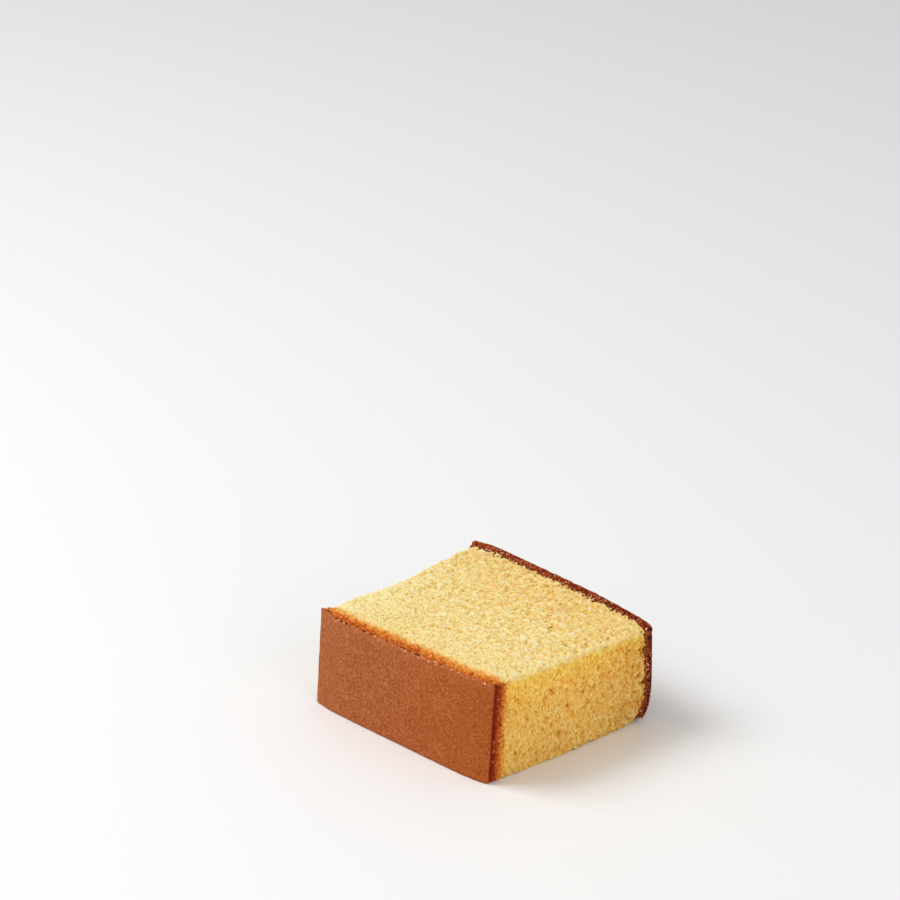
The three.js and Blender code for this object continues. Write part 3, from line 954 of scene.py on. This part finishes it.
def bottomSkin():
    # The bottom crust, sugar-brown and tough, with a painted highlight along the rim of its upper edge
    material, tree, place, fields = newMaterial(
        "sugaredBottom", ("depth", "cutEdge", "onEnd", "onTop", "pit"), bottomLooks["noises"])
    wavy = addNode(tree, "Math", {0: fields["waves"], **swing(bottomLooks["wavy"])})
    depth = addNode(tree, "Math", {**plus, 0: wavy, 1: fields["depth"]})
    cutDepth = addNode(tree, "MapRange", {"Value": depth, **span(*bottomLooks["cutDepth"])})
    # The upper cut edge, redder towards the +X end
    edge = addNode(tree, "ValToRGB", {"Fac": cutDepth, "stops": bottomLooks["edge"]})
    along = addNode(tree, "SeparateXYZ", {0: place})
    towardsEnd = addNode(tree, "MapRange", {"Value": along, **span(*bottomLooks["redAlong"])})
    redder = addNode(tree, "Mix", {**multiplied, 6: edge, 7: bottomLooks["redder"]})
    reddened = addNode(tree, "Mix", {**mixed, 0: towardsEnd, 6: edge, 7: redder})
    stained = addNode(tree, "Mix", {**multiplied, 6: reddened, 7: fields["stains"]})
    # The ends of the cake were trimmed earlier. Their cut edge is dark, darkest at the outer face: the
    # crust's own colour with painted shade where it rounds away
    side = addNode(tree, "ValToRGB", {"Fac": cutDepth, "stops": bottomLooks["side"]})
    blotches = addNode(tree, "ValToRGB", {"Fac": fields["waves"], "stops": bottomLooks["blotches"]})
    blotched = addNode(tree, "Mix", {**multiplied, 6: side, 7: blotches})
    cut = addNode(tree, "Mix", {**mixed, 0: fields["onEnd"], 6: stained, 7: blotched})
    # Pale torn fibres on it, and painted shade in its pits
    fibres = addNode(tree, "MapRange", {"Value": fields["fibres"], **span(*bottomLooks["fibrous"])})
    fibrous = addNode(tree, "Mix", {**mixed, 0: fibres, 6: cut, 7: bottomLooks["fibres"]})
    pits = addNode(tree, "MapRange", {
        "Value": fields["pit"], **span(*bottomLooks["pitted"], 0.0, bottomLooks["pitShare"])})
    pitted = addNode(tree, "Mix", {**mixed, 0: pits, 6: fibrous, 7: bottomLooks["pits"]})
    # The outer face, mottled and caramelised
    outer = addNode(tree, "Mix", {**multiplied, 6: fields["mottled"], 7: fields["caramel"]})
    skin = addNode(tree, "Mix", {**mixed, 0: fields["cutEdge"], 6: outer, 7: pitted})
    # Painted highlight: the rim of the skin is lighter along the upper edge, where it would catch the light
    thin = addNode(tree, "MapRange", {
        "Value": fields["depth"], **span(*bottomLooks["rimDepth"], bottomLooks["rimShare"], 0.0)})
    rim = addNode(tree, "Math", {**times, 0: thin, 1: fields["onTop"]})
    base = addNode(tree, "Mix", {**mixed, 0: rim, 6: skin, 7: bottomLooks["rim"]})
    # Fine creases that the baking paper left on the outer face
    creases = addNode(tree, "TexNoise", {
        "Vector": place, "Scale": 1 / bottomLooks["creaseSize"], "Detail": 4.0, "Roughness": 0.6,
        "Distortion": 1.5})
    creased = addNode(tree, "Bump", {"Height": creases, "Distance": bottomLooks["creaseDepth"] * mm})
    finishMaterial(tree, {"Base Color": base, "Normal": creased, "Roughness": 0.6,
                          "Specular IOR Level": 0.04})
    return material


def coarseSugar():
    # Sugar crystals, clear and glossy, stained amber by the crust that they sit in, some more
    # than others
    material, tree, _, fields = newMaterial("coarseSugar", noises={
        "stain": (1.4, 1, {0.38: "#e8a684", 0.52: "#f4bc9c", 0.66: "#fcdcc0"})})
    finishMaterial(tree, {"Base Color": fields["stain"], "Roughness": 0.3, "IOR": 1.54,
                          "Transmission Weight": 0.1})
    return material


for piece, material in ((spongeCrumb, bakedCrumb()), (looseCrumbs, looseCrumb()),
                        (topCrust, browningSkin()), (skinScraps, scrapOfSkin()),
                        (bottomCrust, bottomSkin()), (sugarGrains, coarseSugar())):
    piece.data.materials.clear()
    piece.data.materials.append(material)

for helper in (topSheet, bottomSheet):
    bpy.data.objects.remove(helper)
print("materials made")


# Stage

cameraValues = {
    "place": Vector((613.09, -647.91, 439.99)) * mm,
    "lookDown": 22.42,  # degrees
    "heading": 44.12,
    "roll": 2.04,
    "lens": 152.0,
    "sensor": 36.0,
}

stageValues = {
    "floorSize": 3,
    "floor": "#f2f3f4",
    "keyPlace": (-0.55, -0.45, 0.85),
    "keySize": 0.6,
    "keyPower": 8,  # watts
    "fillPlace": (0.9, -0.2, 0.4),
    "fillSize": 0.8,
    "fillPower": 3.4,
    "fillTint": "#fff0dc",
    "surroundings": 0.5,
}


def makeCamera():
    data = bpy.data.cameras.new("camera")
    data.lens = cameraValues["lens"]
    data.sensor_width = cameraValues["sensor"]
    data.clip_start = 10 * mm
    camera = bpy.data.objects.new("camera", data)
    bpy.context.scene.collection.objects.link(camera)
    turn = Euler((math.radians(90 - cameraValues["lookDown"]), 0, math.radians(cameraValues["heading"])))
    level = turn.to_matrix() @ Matrix.Rotation(math.radians(cameraValues["roll"]), 3, "Z")
    camera.location = cameraValues["place"]
    camera.rotation_euler = level.to_euler()
    bpy.context.scene.camera = camera


def makeFloor():
    deselectAll()
    bpy.ops.mesh.primitive_plane_add(size=stageValues["floorSize"], location=(0, 0, 0))
    floor = bpy.context.active_object
    floor.name = "floor"
    material, tree, *_ = newMaterial("paleFloor")
    finishMaterial(tree, {"Base Color": stageValues["floor"], "Roughness": 0.6})
    floor.data.materials.append(material)


def makeLight(name, place, size, power, tint="#ffffff"):
    data = bpy.data.lights.new(name, "AREA")
    data.shape = "SQUARE"
    data.size = size
    data.energy = power
    data.color = colour(tint)[:3]
    light = bpy.data.objects.new(name, data)
    light.location = place
    light.rotation_euler = (-Vector(place)).to_track_quat("-Z", "Y").to_euler()
    bpy.context.scene.collection.objects.link(light)


makeCamera()
makeFloor()
makeLight("keyLight", stageValues["keyPlace"], stageValues["keySize"], stageValues["keyPower"])
makeLight("fillLight", stageValues["fillPlace"], stageValues["fillSize"], stageValues["fillPower"],
          stageValues["fillTint"])
world = bpy.data.worlds.new("studio")
world.use_nodes = True
world.node_tree.nodes["Background"].inputs["Color"].default_value = colour("#ffffff")
world.node_tree.nodes["Background"].inputs["Strength"].default_value = stageValues["surroundings"]
bpy.context.scene.world = world
bpy.context.scene.view_settings.view_transform = "Standard"

for piece, slotName in ((spongeCrumb, "crumb"), (looseCrumbs, "crumb"), (topCrust, "top_crust"),
                        (skinScraps, "top_crust"), (bottomCrust, "bottom_crust"), (sugarGrains, "sugar")):
    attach(piece, "root")
    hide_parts(sliceNode)
    print(piece.name, len(piece.data.polygons), "faces")
